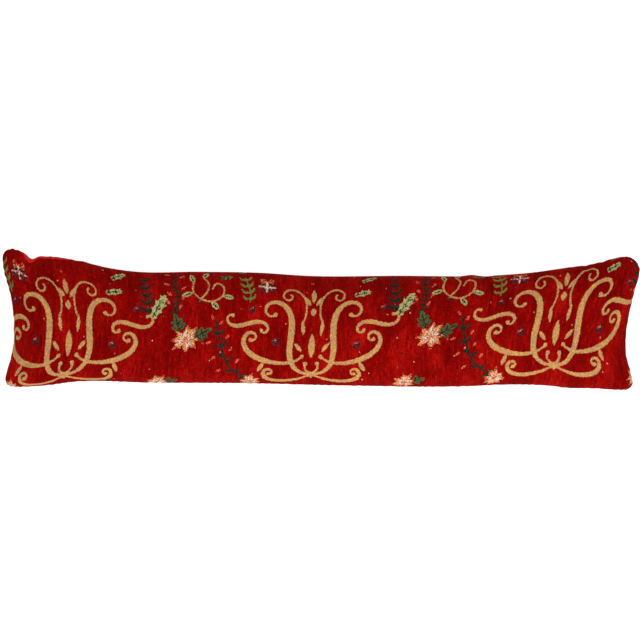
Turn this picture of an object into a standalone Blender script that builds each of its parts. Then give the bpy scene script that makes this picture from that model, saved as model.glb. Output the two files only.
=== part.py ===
"""Draught excluder: a long filled cushion, lying on its back with its face up.

Two cloth panels of one size are sewn together round the rim and filled. The filling
pushes the middle out, so the long seams draw in there, and the four corners stay as
flat ears. The frame has +X along the length, +Y towards the upper long seam and +Z up,
with its origin under the centre of the bounding box, on the floor.
"""
from collections import namedtuple

import bmesh
import bpy
import numpy as np

MM = 0.001

# Driving dimensions, in metres
LENGTH = 0.900
PANEL_WIDTH = 0.205
SEAM_HEIGHT = 0.038
FACE_FILL = 0.322
BACK_FILL = 0.330
SECTION_POWER = 2.5
END_ROUNDING = 0.068
END_POWER = 2.2
END_SEAM_DROP = 0.006
EAR_DROOP = 0.005
EAR_REACH = 0.060
FLOOR_SOFTNESS = 0.0025

# Mesh density: cells along the length and cells from seam to seam
CELLS_ALONG = 84
CELLS_ACROSS = 18
END_CROWDING = 0.5
MERGE_DISTANCE = 0.00001

# The two long seams, in plan: one row for each place where their line turns
Station = namedtuple("Station", "along across")
TOP_SEAM = (
    Station(-450, 99.0),
    Station(-428, 98.5),
    Station(-400, 90.5),
    Station(-370, 88.0),
    Station(-340, 82.4),
    Station(-300, 72.5),
    Station(-265, 67.5),
    Station(-170, 66.9),
    Station(-85, 65.4),
    Station(-20, 61.2),
    Station(110, 61.2),
    Station(240, 61.5),
    Station(300, 66.0),
    Station(382, 76.8),
    Station(427, 88.3),
    Station(450, 88.5),
)
FOOT_SEAM = (
    Station(-450, -94.5),
    Station(-424, -94.7),
    Station(-385, -92.2),
    Station(-348, -87.4),
    Station(-240, -88.6),
    Station(-106, -89.4),
    Station(42, -92.8),
    Station(212, -93.4),
    Station(255, -91.4),
    Station(318, -92.3),
    Station(382, -96.3),
    Station(420, -98.9),
    Station(450, -99.0),
)

# The two end seams, drawn in between their ears
LEFT_SEAM = (
    Station(-446, -94.0),
    Station(-445, -80.0),
    Station(-436, -45.0),
    Station(-432.7, -12.0),
    Station(-436.5, 30.0),
    Station(-449, 78.0),
    Station(-450, 99.0),
)
RIGHT_SEAM = (
    Station(441.5, -99.0),
    Station(441, -86.0),
    Station(437, -68.0),
    Station(430.4, -38.0),
    Station(434, 2.0),
    Station(442.2, 36.0),
    Station(450.5, 66.0),
    Station(451, 88.0),
)

# How far each ear is rounded in plan
EAR_ROUNDING = {
    "top_left": 11.0,
    "top_right": 20.0,
    "foot_left": 10.0,
    "foot_right": 12.0,
}

# Puckers that move the upper seam in plan, and fade fast away from it: a dip is negative
PUCKER_FADE = 5
Pucker = namedtuple("Pucker", "along width shift")
TOP_PUCKERS = (
    Pucker(-408, 8, -6.5),
    Pucker(212, 10, 1.9),
    Pucker(234, 9, -0.8),
)

# Soft troughs and swellings of the face: a swelling has a negative depth
Fold = namedtuple("Fold", "along across heading length width depth")
FACE_FOLDS = (
    Fold(-402, 72, -68, 22, 7, 5.0),
    Fold(-421, 30, -12, 16, 6, 2.6),
    Fold(-418, -22, 4, 18, 7, 2.2),
    Fold(-414, -62, 28, 20, 7, 3.2),
    Fold(420, 40, 16, 18, 7, 2.8),
    Fold(414, -10, -6, 20, 8, 2.4),
    Fold(417, -62, -30, 18, 7, 3.0),
    Fold(392, 62, -118, 24, 8, 2.4),
    Fold(-352, 58, 160, 30, 12, 2.2),
    Fold(226, 40, -80, 26, 8, 1.6),
    Fold(196, 42, -72, 22, 8, 1.2),
    Fold(-150, 6, 6, 90, 34, -1.6),
    Fold(72, -14, -4, 80, 36, -1.4),
    Fold(290, -20, 10, 70, 34, -1.6),
    Fold(-30, 10, 84, 46, 26, 1.6),
    Fold(176, -20, 96, 50, 24, 1.4),
)


def smooth_curve(rows, positions, key, value):
    """Smooth line through the rows, as cubic pieces whose slopes come from both neighbours."""
    keys = np.array([getattr(row, key) for row in rows], float)
    values = np.array([getattr(row, value) for row in rows], float)
    slopes = np.gradient(values, keys)
    piece = np.clip(np.searchsorted(keys, positions) - 1, 0, len(keys) - 2)
    span = keys[piece + 1] - keys[piece]
    t = (positions - keys[piece]) / span
    t2, t3 = t * t, t * t * t
    return (
        (2 * t3 - 3 * t2 + 1) * values[piece]
        + (t3 - 2 * t2 + t) * span * slopes[piece]
        + (3 * t2 - 2 * t3) * values[piece + 1]
        + (t3 - t2) * span * slopes[piece + 1]
    )


def long_lines(along):
    """Heights of the lower and the upper long seam in plan, without puckers, in millimetres."""
    foot = smooth_curve(FOOT_SEAM, along, "along", "across")
    top = smooth_curve(TOP_SEAM, along, "along", "across")
    return foot, top


def across_at(along, share):
    """Height in plan at a share of the way from the lower seam to the puckered upper one."""
    foot, top = long_lines(along)
    shift = np.zeros_like(along)
    for pucker in TOP_PUCKERS:
        shift += pucker.shift * np.exp(-(((along - pucker.along) / pucker.width) ** 2))
    return foot + (top - foot) * share + shift * share**PUCKER_FADE


def end_line(rows, across):
    """Place along the length of an end seam at each height in plan, in millimetres."""
    low, high = rows[0].across, rows[-1].across
    return smooth_curve(rows, np.clip(across, low, high), "across", "along")


def grid_shares():
    """Shares along and across the panel: closer together at the ends and at the long seams."""
    even = np.linspace(0, 1, CELLS_ALONG + 1)
    eased = (1 - np.cos(np.pi * even)) / 2
    along = END_CROWDING * eased + (1 - END_CROWDING) * even
    across = (1 - np.cos(np.pi * np.linspace(0, 1, CELLS_ACROSS + 1))) / 2
    return np.meshgrid(along, across, indexing="ij")


def round_ear(x, y, corner_x, corner_y, radius):
    """Turns the square corner of the plan into a quarter circle, by the square-to-disc map."""
    inward_x, inward_y = np.sign(-corner_x), np.sign(-corner_y)
    a = 1 - (x - corner_x) * inward_x / radius
    b = 1 - (y - corner_y) * inward_y / radius
    near = (a > 0) & (b > 0)
    a, b = np.clip(a, 0, 1), np.clip(b, 0, 1)
    disc_a = a * np.sqrt(1 - b * b / 2)
    disc_b = b * np.sqrt(1 - a * a / 2)
    x = np.where(near, corner_x + inward_x * (1 - disc_a) * radius, x)
    y = np.where(near, corner_y + inward_y * (1 - disc_b) * radius, y)
    return x, y


def plan_of(along_share, across_share):
    """Plan of the panel: places between the four seams, with its ears rounded."""
    rough = np.interp(across_share, [0, 1], [FOOT_SEAM[0].across, TOP_SEAM[0].across])
    left, right = end_line(LEFT_SEAM, rough), end_line(RIGHT_SEAM, rough)
    y = across_at(left + (right - left) * along_share, across_share)
    left, right = end_line(LEFT_SEAM, y), end_line(RIGHT_SEAM, y)
    x = left + (right - left) * along_share
    y = across_at(x, across_share)
    end_distance = np.minimum(x - left, right - x)
    corners = {
        "top_left": (x[0, -1], y[0, -1]),
        "top_right": (x[-1, -1], y[-1, -1]),
        "foot_left": (x[0, 0], y[0, 0]),
        "foot_right": (x[-1, 0], y[-1, 0]),
    }
    for name, (corner_x, corner_y) in corners.items():
        x, y = round_ear(x, y, corner_x, corner_y, EAR_ROUNDING[name])
    return x * MM, y * MM, end_distance * MM


def dome(distance, reach, power):
    """Rises from 0 at a seam to 1 at the reach, as the quarter of a fat ellipse."""
    share = np.clip(1 - distance / reach, 0, 1)
    return (1 - share**power) ** (1 / power)


def seam_level(x, y):
    """Height of the seam plane: level along the waist, lower at the ends and at the ears."""
    half_length, half_width = LENGTH / 2, PANEL_WIDTH / 2
    to_end = np.clip(1 - (half_length - np.abs(x)) / (2 * EAR_REACH), 0, 1)
    to_side = np.clip(1 - (half_width - np.abs(y)) / EAR_REACH, 0, 1)
    return SEAM_HEIGHT - END_SEAM_DROP * to_end**2 - EAR_DROOP * to_end**2 * to_side**2


def fold_relief(x, y):
    """Depth of the soft folds of the face, each a bell curve across and along its line."""
    relief = np.zeros_like(x)
    for fold in FACE_FOLDS:
        turn = np.radians(fold.heading)
        dx, dy = x / MM - fold.along, y / MM - fold.across
        lengthwise = dx * np.cos(turn) + dy * np.sin(turn)
        sideways = dy * np.cos(turn) - dx * np.sin(turn)
        bell = np.exp(-((lengthwise / fold.length) ** 2) - (sideways / fold.width) ** 2)
        relief += fold.depth * MM * bell
    return relief


def rest_on_floor(z):
    """Presses what would lie below the floor flat onto it, with a soft bend beside the flat."""
    bend = (z + FLOOR_SOFTNESS) ** 2 / (4 * FLOOR_SOFTNESS)
    return np.where(z > FLOOR_SOFTNESS, z, np.where(z > -FLOOR_SOFTNESS, bend, 0.0))


def cushion_sheets():
    """Face and back of the cushion, as two grids of points that share their rim.

    Where the seams draw the outline in, the rest of the panel's width goes into the
    crown, so the height follows from the width of the cut panel.
    """
    along_share, across_share = grid_shares()
    x, y, end_distance = plan_of(along_share, across_share)
    foot, top = long_lines(x / MM)
    width = (top - foot) * MM
    spare = np.sqrt(np.clip(PANEL_WIDTH**2 - width**2, 0, None))
    from_middle = np.abs(2 * across_share - 1)
    bulge = dome(1 - from_middle, 1.0, SECTION_POWER) * dome(end_distance, END_ROUNDING, END_POWER)
    seam = seam_level(x, y)
    inside = np.clip(bulge * 2, 0, 1)
    face = seam + FACE_FILL * spare * bulge - fold_relief(x, y) * inside
    back = rest_on_floor(seam - BACK_FILL * spare * bulge)
    centre_x = (x.min() + x.max()) / 2
    centre_y = (y.min() + y.max()) / 2
    x, y = x - centre_x, y - centre_y
    return np.stack([x, y, face], axis=-1), np.stack([x, y, back], axis=-1)


def add_sheet(bm, points, faces_down):
    """Adds one grid of points to the mesh and turns its faces up or down."""
    rows = [[bm.verts.new(point) for point in row] for row in points.tolist()]
    for near, far in zip(rows, rows[1:]):
        for corners in zip(near, far, far[1:], near[1:]):
            bm.faces.new(reversed(corners) if faces_down else corners)


def cloth_material():
    """Deep red pile cloth."""
    material = bpy.data.materials.new("red_cloth")
    material.use_nodes = True
    shader = material.node_tree.nodes["Principled BSDF"]
    shader.inputs["Base Color"].default_value = (0.24, 0.004, 0.003, 1.0)
    shader.inputs["Roughness"].default_value = 0.9
    shader.inputs["Metallic"].default_value = 0.0
    return material


def make_filled_cover():
    """The cushion as one closed body: the face and the back, sewn along their shared rim."""
    face, back = cushion_sheets()
    bm = bmesh.new()
    add_sheet(bm, face, faces_down=False)
    add_sheet(bm, back, faces_down=True)
    bmesh.ops.remove_doubles(bm, verts=bm.verts, dist=MERGE_DISTANCE)
    mesh = bpy.data.meshes.new("filled_cover")
    bm.to_mesh(mesh)
    bm.free()
    mesh.shade_smooth()
    cover = bpy.data.objects.new("filled_cover", mesh)
    cover.data.materials.append(cloth_material())
    bpy.context.scene.collection.objects.link(cover)
    return cover


def main():
    """Clears the scene and builds the draught excluder."""
    for old in list(bpy.data.objects):
        bpy.data.objects.remove(old)
    make_filled_cover()


main()
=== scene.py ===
"""Draught excluder: the looks of a long filled cushion that lies on its back.

A patterned chenille panel and a plain back panel are sewn together round the rim and filled.
The cover is one closed surface: its face and back are two grids of points that share their rim.
Sizes of the cloth's pattern are in millimetres on the flat panel, and the form is in metres.
"""
import logging
import math
from dataclasses import dataclass
from enum import Enum
from typing import NamedTuple, Protocol, Union

import bpy
import numpy as np
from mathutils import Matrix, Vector


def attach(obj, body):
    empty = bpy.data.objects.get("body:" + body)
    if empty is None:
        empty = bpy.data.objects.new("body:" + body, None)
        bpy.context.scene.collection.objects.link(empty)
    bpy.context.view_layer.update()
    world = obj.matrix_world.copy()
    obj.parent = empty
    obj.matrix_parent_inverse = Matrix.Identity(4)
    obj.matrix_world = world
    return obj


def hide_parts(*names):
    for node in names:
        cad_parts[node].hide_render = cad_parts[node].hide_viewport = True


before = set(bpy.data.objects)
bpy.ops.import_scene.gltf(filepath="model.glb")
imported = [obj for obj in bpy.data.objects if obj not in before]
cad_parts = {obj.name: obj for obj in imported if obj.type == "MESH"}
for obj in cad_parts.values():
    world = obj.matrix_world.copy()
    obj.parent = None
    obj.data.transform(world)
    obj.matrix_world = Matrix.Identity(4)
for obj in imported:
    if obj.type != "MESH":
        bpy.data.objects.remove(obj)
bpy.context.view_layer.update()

MM = 0.001
TINY = 1e-9
# How much brighter than its own colour a level surface shows under the studio's lights.
STUDIO_GAIN = 1.36
log = logging.getLogger("draught_excluder")
Numbers = np.ndarray


def smooth(keys: Numbers, values: Numbers, at: Numbers) -> Numbers:
    """Reads a smooth curve that passes through every value.

    Each span is the cubic that joins its two ends with slopes taken from both neighbours.

    Args:
        keys: rising positions of the values.
        values: one value, or one array of values, for each key.
        at: positions to read, of any shape where values is flat, else in one row.

    Returns:
        The curve at each position.
    """
    slopes = np.gradient(values, keys, axis=0)
    piece = np.clip(np.searchsorted(keys, at) - 1, 0, len(keys) - 2)
    span = keys[piece + 1] - keys[piece]
    t = (at - keys[piece]) / span
    t, span = (part.reshape(part.shape + (1,) * (values.ndim - 1)) for part in (t, span))
    t2, t3 = t * t, t * t * t
    return (
        (2 * t3 - 3 * t2 + 1) * values[piece]
        + (t3 - 2 * t2 + t) * span * slopes[piece]
        + (3 * t2 - 2 * t3) * values[piece + 1]
        + (t3 - t2) * span * slopes[piece + 1]
    )


def smoothstep(low: float, high: float, value: Numbers) -> Numbers:
    """Rises from 0 at low to 1 at high, level at both."""
    t = np.clip((value - low) / (high - low), 0, 1)
    return t * t * (3 - 2 * t)


def walked_along(line: Numbers) -> Numbers:
    """Adds up the steps along a line of points, from zero at its first one."""
    return np.concatenate([[0], np.cumsum(np.linalg.norm(np.diff(line, axis=0), axis=1))])


class Station(NamedTuple):
    """A place where a seam's line turns in plan, in millimetres."""

    along: float
    across: float


class Pucker(NamedTuple):
    """A small dip or bulge of a long seam in plan, in millimetres."""

    along: float
    width: float
    shift: float


class Fold(NamedTuple):
    """A soft trough of the face, or a swelling where its depth is negative."""

    along: float
    across: float
    heading: float
    length: float
    width: float
    depth: float


TOP_SEAM = (
    Station(-450, 99.0),
    Station(-430, 98.8),
    Station(-417, 94.4),
    Station(-400, 90.5),
    Station(-370, 88.0),
    Station(-340, 82.4),
    Station(-300, 72.5),
    Station(-265, 67.5),
    Station(-170, 66.9),
    Station(-85, 65.4),
    Station(-20, 61.2),
    Station(110, 61.2),
    Station(240, 61.5),
    Station(300, 66.0),
    Station(345, 72.4),
    Station(382, 77.6),
    Station(427, 88.3),
    Station(450, 88.5),
)
FOOT_SEAM = (
    Station(-450, -94.5),
    Station(-424, -94.7),
    Station(-385, -92.2),
    Station(-348, -87.4),
    Station(-240, -88.6),
    Station(-106, -89.4),
    Station(42, -92.8),
    Station(212, -93.4),
    Station(255, -91.4),
    Station(318, -92.6),
    Station(352, -96.2),
    Station(382, -96.6),
    Station(420, -98.9),
    Station(450, -99.0),
)
LEFT_SEAM = (
    Station(-446, -94.0),
    Station(-445, -80.0),
    Station(-439.0, -61.0),
    Station(-435, -45.0),
    Station(-432.7, -12.0),
    Station(-436.5, 30.0),
    Station(-449, 78.0),
    Station(-450, 99.0),
)
RIGHT_SEAM = (
    Station(441.5, -99.0),
    Station(441, -86.0),
    Station(436, -68.0),
    Station(431.4, -53.0),
    Station(430.2, -38.0),
    Station(434, 2.0),
    Station(442.2, 36.0),
    Station(450.5, 66.0),
    Station(451, 88.0),
)
TOP_PUCKERS = (
    Pucker(-443, 3.0, 0.4),
    Pucker(-440, 2.4, -0.5),
    Pucker(-435, 4.0, 0.5),
    Pucker(-429, 2.4, -0.6),
    Pucker(-408, 8, -6.5),
    Pucker(212, 10, 1.9),
    Pucker(234, 9, -0.8),
    Pucker(374, 4, -0.9),
    Pucker(398, 4, -0.9),
    Pucker(412, 4, -0.5),
)
FACE_FOLDS = (
    Fold(-402, 72, -68, 22, 7, 5.0),
    Fold(-421, 30, -12, 16, 6, 2.6),
    Fold(-418, -22, 4, 18, 7, 2.2),
    Fold(-414, -62, 28, 20, 7, 3.2),
    Fold(420, 40, 16, 18, 7, 2.8),
    Fold(414, -10, -6, 20, 8, 2.4),
    Fold(417, -62, -30, 18, 7, 3.0),
    Fold(392, 62, -118, 24, 8, 2.4),
    Fold(-352, 58, 160, 30, 12, 2.2),
    Fold(226, 40, -80, 26, 8, 1.6),
    Fold(196, 42, -72, 22, 8, 1.2),
    Fold(-150, 6, 6, 90, 34, -1.6),
    Fold(72, -14, -4, 80, 36, -1.4),
    Fold(290, -20, 10, 70, 34, -1.6),
    Fold(-30, 10, 84, 46, 26, 1.6),
    Fold(176, -20, 96, 50, 24, 1.4),
)


def read_line(rows: tuple[Station, ...], at: Numbers, by_across: bool = False) -> Numbers:
    """Reads a seam's line in plan.

    Args:
        rows: the seam's stations.
        at: places along the panel, or across it, in millimetres.
        by_across: whether at runs across the panel, as for the two end seams.

    Returns:
        The other coordinate of the line, in millimetres.
    """
    along, across = np.array(rows, float).T
    if by_across:
        return smooth(across, along, np.clip(at, across[0], across[-1]))
    return smooth(along, across, at)


class EvenGrid(NamedTuple):
    """Shares of the way along and across the panel at which a grid has its points."""

    along: Numbers
    across: Numbers


class Sheets(NamedTuple):
    """Points of the face and of the back, as two grids that share their rim."""

    face: Numbers
    back: Numbers


@dataclass(frozen=True)
class FilledForm:
    """The cushion's form: what the cut panels become when they are sewn and filled.

    The long seams draw in along the waist. What they take from the width goes into the
    crown, whose section is a fat ellipse from seam to seam. All sizes are in metres.
    """

    length: float = 0.900
    panel_width: float = 0.205
    seam_height: float = 0.038
    face_fill: float = 0.322
    back_fill: float = 0.330
    section_power: float = 2.5
    end_rounding: float = 0.068
    end_power: float = 2.2
    end_seam_drop: float = 0.006
    ear_droop: float = 0.005
    ear_reach: float = 0.060
    floor_softness: float = 0.0025
    ear_rounding: tuple[float, ...] = (11.0, 20.0, 10.0, 12.0)
    pucker_fade: float = 5.0
    dense_points: int = 1201

    def across_at(self, along: Numbers, share: Numbers) -> Numbers:
        """Finds the place across the plan between the lower seam and the upper one.

        It is a share of the way, plus the puckers' bell curves times a power of that share.

        Args:
            along: places along the panel, in millimetres.
            share: share of the way from the lower seam to the upper one.

        Returns:
            Places across, in millimetres.
        """
        foot, top = read_line(FOOT_SEAM, along), read_line(TOP_SEAM, along)
        shift = sum(p.shift * np.exp(-(((along - p.along) / p.width) ** 2)) for p in TOP_PUCKERS)
        return foot + (top - foot) * share + shift * share**self.pucker_fade

    def round_ear(self, x: Numbers, y: Numbers, corner: tuple, radius: float) -> tuple:
        """Turns a square corner of the plan into a quarter circle.

        The square beside the corner is mapped to a disc: each coordinate is multiplied by
        the root of one less half the other's square.

        Args:
            x: places along, in millimetres.
            y: places across, in millimetres.
            corner: the corner's place.
            radius: the ear's radius.

        Returns:
            The moved places along and across.
        """
        inward_x, inward_y = -np.sign(corner[0]), -np.sign(corner[1])
        a = 1 - (x - corner[0]) * inward_x / radius
        b = 1 - (y - corner[1]) * inward_y / radius
        near = (a > 0) & (b > 0)
        a, b = np.clip(a, 0, 1), np.clip(b, 0, 1)
        disc_a = a * np.sqrt(1 - b * b / 2)
        disc_b = b * np.sqrt(1 - a * a / 2)
        x = np.where(near, corner[0] + inward_x * (1 - disc_a) * radius, x)
        y = np.where(near, corner[1] + inward_y * (1 - disc_b) * radius, y)
        return x, y

    def plan(self, along_share: Numbers, across_share: Numbers) -> tuple:
        """Plan of the panel between its four seams.

        Args:
            along_share: share of the way from the left end seam to the right one.
            across_share: share of the way from the lower seam to the upper one.

        Returns:
            Places along and across, and the distance to the nearer end seam, in metres.
        """
        rough = np.interp(across_share, [0, 1], [FOOT_SEAM[0].across, TOP_SEAM[0].across])
        left, right = read_line(LEFT_SEAM, rough, True), read_line(RIGHT_SEAM, rough, True)
        y = self.across_at(left + (right - left) * along_share, across_share)
        left, right = read_line(LEFT_SEAM, y, True), read_line(RIGHT_SEAM, y, True)
        x = left + (right - left) * along_share
        y = self.across_at(x, across_share)
        end_distance = np.minimum(x - left, right - x)
        corners = [(x[i, j], y[i, j]) for i, j in ((0, -1), (-1, -1), (0, 0), (-1, 0))]
        for corner, radius in zip(corners, self.ear_rounding):
            x, y = self.round_ear(x, y, corner, radius)
        return x * MM, y * MM, end_distance * MM

    def dome(self, distance: Numbers, reach: float, power: float) -> Numbers:
        """Rises from 0 at a seam to 1 at the reach, as the quarter of a fat ellipse."""
        return (1 - np.clip(1 - distance / reach, 0, 1) ** power) ** (1 / power)

    def seam_level(self, x: Numbers, y: Numbers) -> Numbers:
        """Finds the height of the seam plane: level along the waist, lower at the ends.

        The drop grows with the square of the share of the way to an end, and in the ears
        with the square of the share of the way to a side besides.

        Args:
            x: places along, in metres.
            y: places across, in metres.

        Returns:
            Heights, in metres.
        """
        to_end = np.clip(1 - (self.length / 2 - np.abs(x)) / (2 * self.ear_reach), 0, 1)
        to_side = np.clip(1 - (self.panel_width / 2 - np.abs(y)) / self.ear_reach, 0, 1)
        drop = self.end_seam_drop * to_end**2 + self.ear_droop * to_end**2 * to_side**2
        return self.seam_height - drop

    def fold_relief(self, x: Numbers, y: Numbers) -> Numbers:
        """Adds up the face's soft folds: each is a bell curve along and across its line.

        Args:
            x: places along, in metres.
            y: places across, in metres.

        Returns:
            Depths, in metres.
        """
        relief = np.zeros_like(x)
        for fold in FACE_FOLDS:
            turn = math.radians(fold.heading)
            dx, dy = x / MM - fold.along, y / MM - fold.across
            lengthwise = dx * math.cos(turn) + dy * math.sin(turn)
            sideways = dy * math.cos(turn) - dx * math.sin(turn)
            bell = -((lengthwise / fold.length) ** 2) - (sideways / fold.width) ** 2
            relief += fold.depth * MM * np.exp(bell)
        return relief

    def rest_on_floor(self, z: Numbers) -> Numbers:
        """Presses what would lie below the floor flat onto it, with a soft bend beside it."""
        bend = (z + self.floor_softness) ** 2 / (4 * self.floor_softness)
        return np.where(z > self.floor_softness, z, np.where(z > -self.floor_softness, bend, 0.0))

    def sheets(self, grid: EvenGrid) -> Sheets:
        """Works out the face and the back of the filled cushion.

        The crown's height is the fill times the width that the seams took, which is the
        root of the panel's width squared less the plan's width squared, times the dome of
        the section and the dome of the ends.

        Args:
            grid: the shares at which the sheets have their points.

        Returns:
            The two sheets, each of shape (along, across, 3), in metres.
        """
        along_share, across_share = np.meshgrid(grid.along, grid.across, indexing="ij")
        x, y, end_distance = self.plan(along_share, across_share)
        width = (read_line(TOP_SEAM, x / MM) - read_line(FOOT_SEAM, x / MM)) * MM
        spare = np.sqrt(np.clip(self.panel_width**2 - width**2, 0, None))
        from_middle = np.abs(2 * across_share - 1)
        bulge = self.dome(1 - from_middle, 1.0, self.section_power)
        bulge = bulge * self.dome(end_distance, self.end_rounding, self.end_power)
        seam = self.seam_level(x, y)
        inside = np.clip(bulge * 2, 0, 1)
        face = seam + self.face_fill * spare * bulge - self.fold_relief(x, y) * inside
        back = self.rest_on_floor(seam - self.back_fill * spare * bulge)
        x, y = (part - (part.min() + part.max()) / 2 for part in (x, y))
        return Sheets(np.stack([x, y, face], axis=-1), np.stack([x, y, back], axis=-1))

    def even_grid(self, cells_along: int, cells_across: int) -> EvenGrid:
        """Finds the shares that part the crown's middle lines into even steps of cloth.

        Both lines are read at many places that crowd towards the seams by a half cosine,
        and the length walked along them is parted evenly.

        Args:
            cells_along: number of cells along the panel.
            cells_across: number of cells across it.

        Returns:
            The grid's shares.
        """
        dense = (1 - np.cos(np.pi * np.linspace(0, 1, self.dense_points))) / 2
        middle = np.array([0.5, 0.5])
        lines = (
            self.sheets(EvenGrid(dense, middle)).face[:, 0],
            self.sheets(EvenGrid(middle, dense)).face[0],
        )
        shares = []
        for line, cells in zip(lines, (cells_along, cells_across)):
            walked = walked_along(line)
            shares.append(np.interp(np.linspace(0, walked[-1], cells + 1), walked, dense))
        return EvenGrid(*shares)


@dataclass(frozen=True)
class Filling:
    """Cloth simulation that blows the sewn panels up a little, with the rim held.

    The panels' flat size is their rest size, so the cloth that the seams gather shows as
    soft unevenness. How far a point may move is capped.
    """

    cells_along: int = 184
    cells_across: int = 40
    flat_length: float = 0.918
    flat_width: float = 0.205
    pressure: float = 4.0
    frames: int = 20
    most_moved: float = 0.005

    def settle(self, form: FilledForm) -> tuple[EvenGrid, Sheets]:
        """Runs the simulation on a coarse copy of the cover.

        A move's length is capped softly: it becomes the cap times the hyperbolic tangent of
        its share of the cap.

        Args:
            form: the cushion's form.

        Returns:
            The coarse grid, and how far its face and back points moved, in metres.
        """
        grid = form.even_grid(self.cells_along, self.cells_across)
        start = form.sheets(grid)
        body = SewnGrid.full(self.cells_along, self.cells_across)
        points = body.join(start)
        along, across = np.meshgrid(
            np.linspace(-self.flat_length / 2, self.flat_length / 2, self.cells_along + 1),
            np.linspace(-self.flat_width / 2, self.flat_width / 2, self.cells_across + 1),
            indexing="ij",
        )
        flat = np.stack([along, across, np.full_like(along, form.seam_height)], axis=-1)
        bag = body.object("filling_trial", points)
        bag.shape_key_add(name="sewn")
        cut = bag.shape_key_add(name="cut")
        cut.data.foreach_set("co", body.join(Sheets(flat, flat)).astype(np.float32).ravel())
        rim = bag.vertex_groups.new(name="rim")
        rim.add(body.rim_indices().tolist(), 1.0, "REPLACE")
        cloth = bag.modifiers.new("cloth", "CLOTH")
        cloth.point_cache.frame_start = 1
        cloth.point_cache.frame_end = self.frames
        self.tune(cloth.settings, cut)
        for number in range(1, self.frames + 1):
            bpy.context.scene.frame_set(number)
        blown = np.empty(points.size, np.float32)
        evaluated = bag.evaluated_get(bpy.context.evaluated_depsgraph_get())
        evaluated.data.vertices.foreach_get("co", blown)
        mesh = bag.data
        bpy.data.objects.remove(bag)
        bpy.data.meshes.remove(mesh)
        bpy.context.scene.frame_set(1)
        moved = blown.reshape(-1, 3) - points
        far = np.linalg.norm(moved, axis=1, keepdims=True)
        moved *= self.most_moved * np.tanh(far / self.most_moved) / np.maximum(far, TINY)
        log.info("filling settled, largest move %.1f mm", float(far.max()) / MM)
        return grid, body.split(moved)

    def tune(self, settings: bpy.types.ClothSettings, cut: bpy.types.ShapeKey) -> None:
        """Sets the cloth's stiffness, its pressure and its rest size.

        Args:
            settings: the cloth's settings.
            cut: the flat size of the two panels.
        """
        settings.quality = 6
        settings.mass = 0.3
        settings.tension_stiffness = 40
        settings.compression_stiffness = 20
        settings.shear_stiffness = 10
        settings.bending_stiffness = 4
        settings.air_damping = 2
        settings.vertex_group_mass = "rim"
        settings.rest_shape_key = cut
        settings.use_pressure = True
        settings.uniform_pressure_force = self.pressure
        settings.effector_weights.gravity = 0


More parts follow.
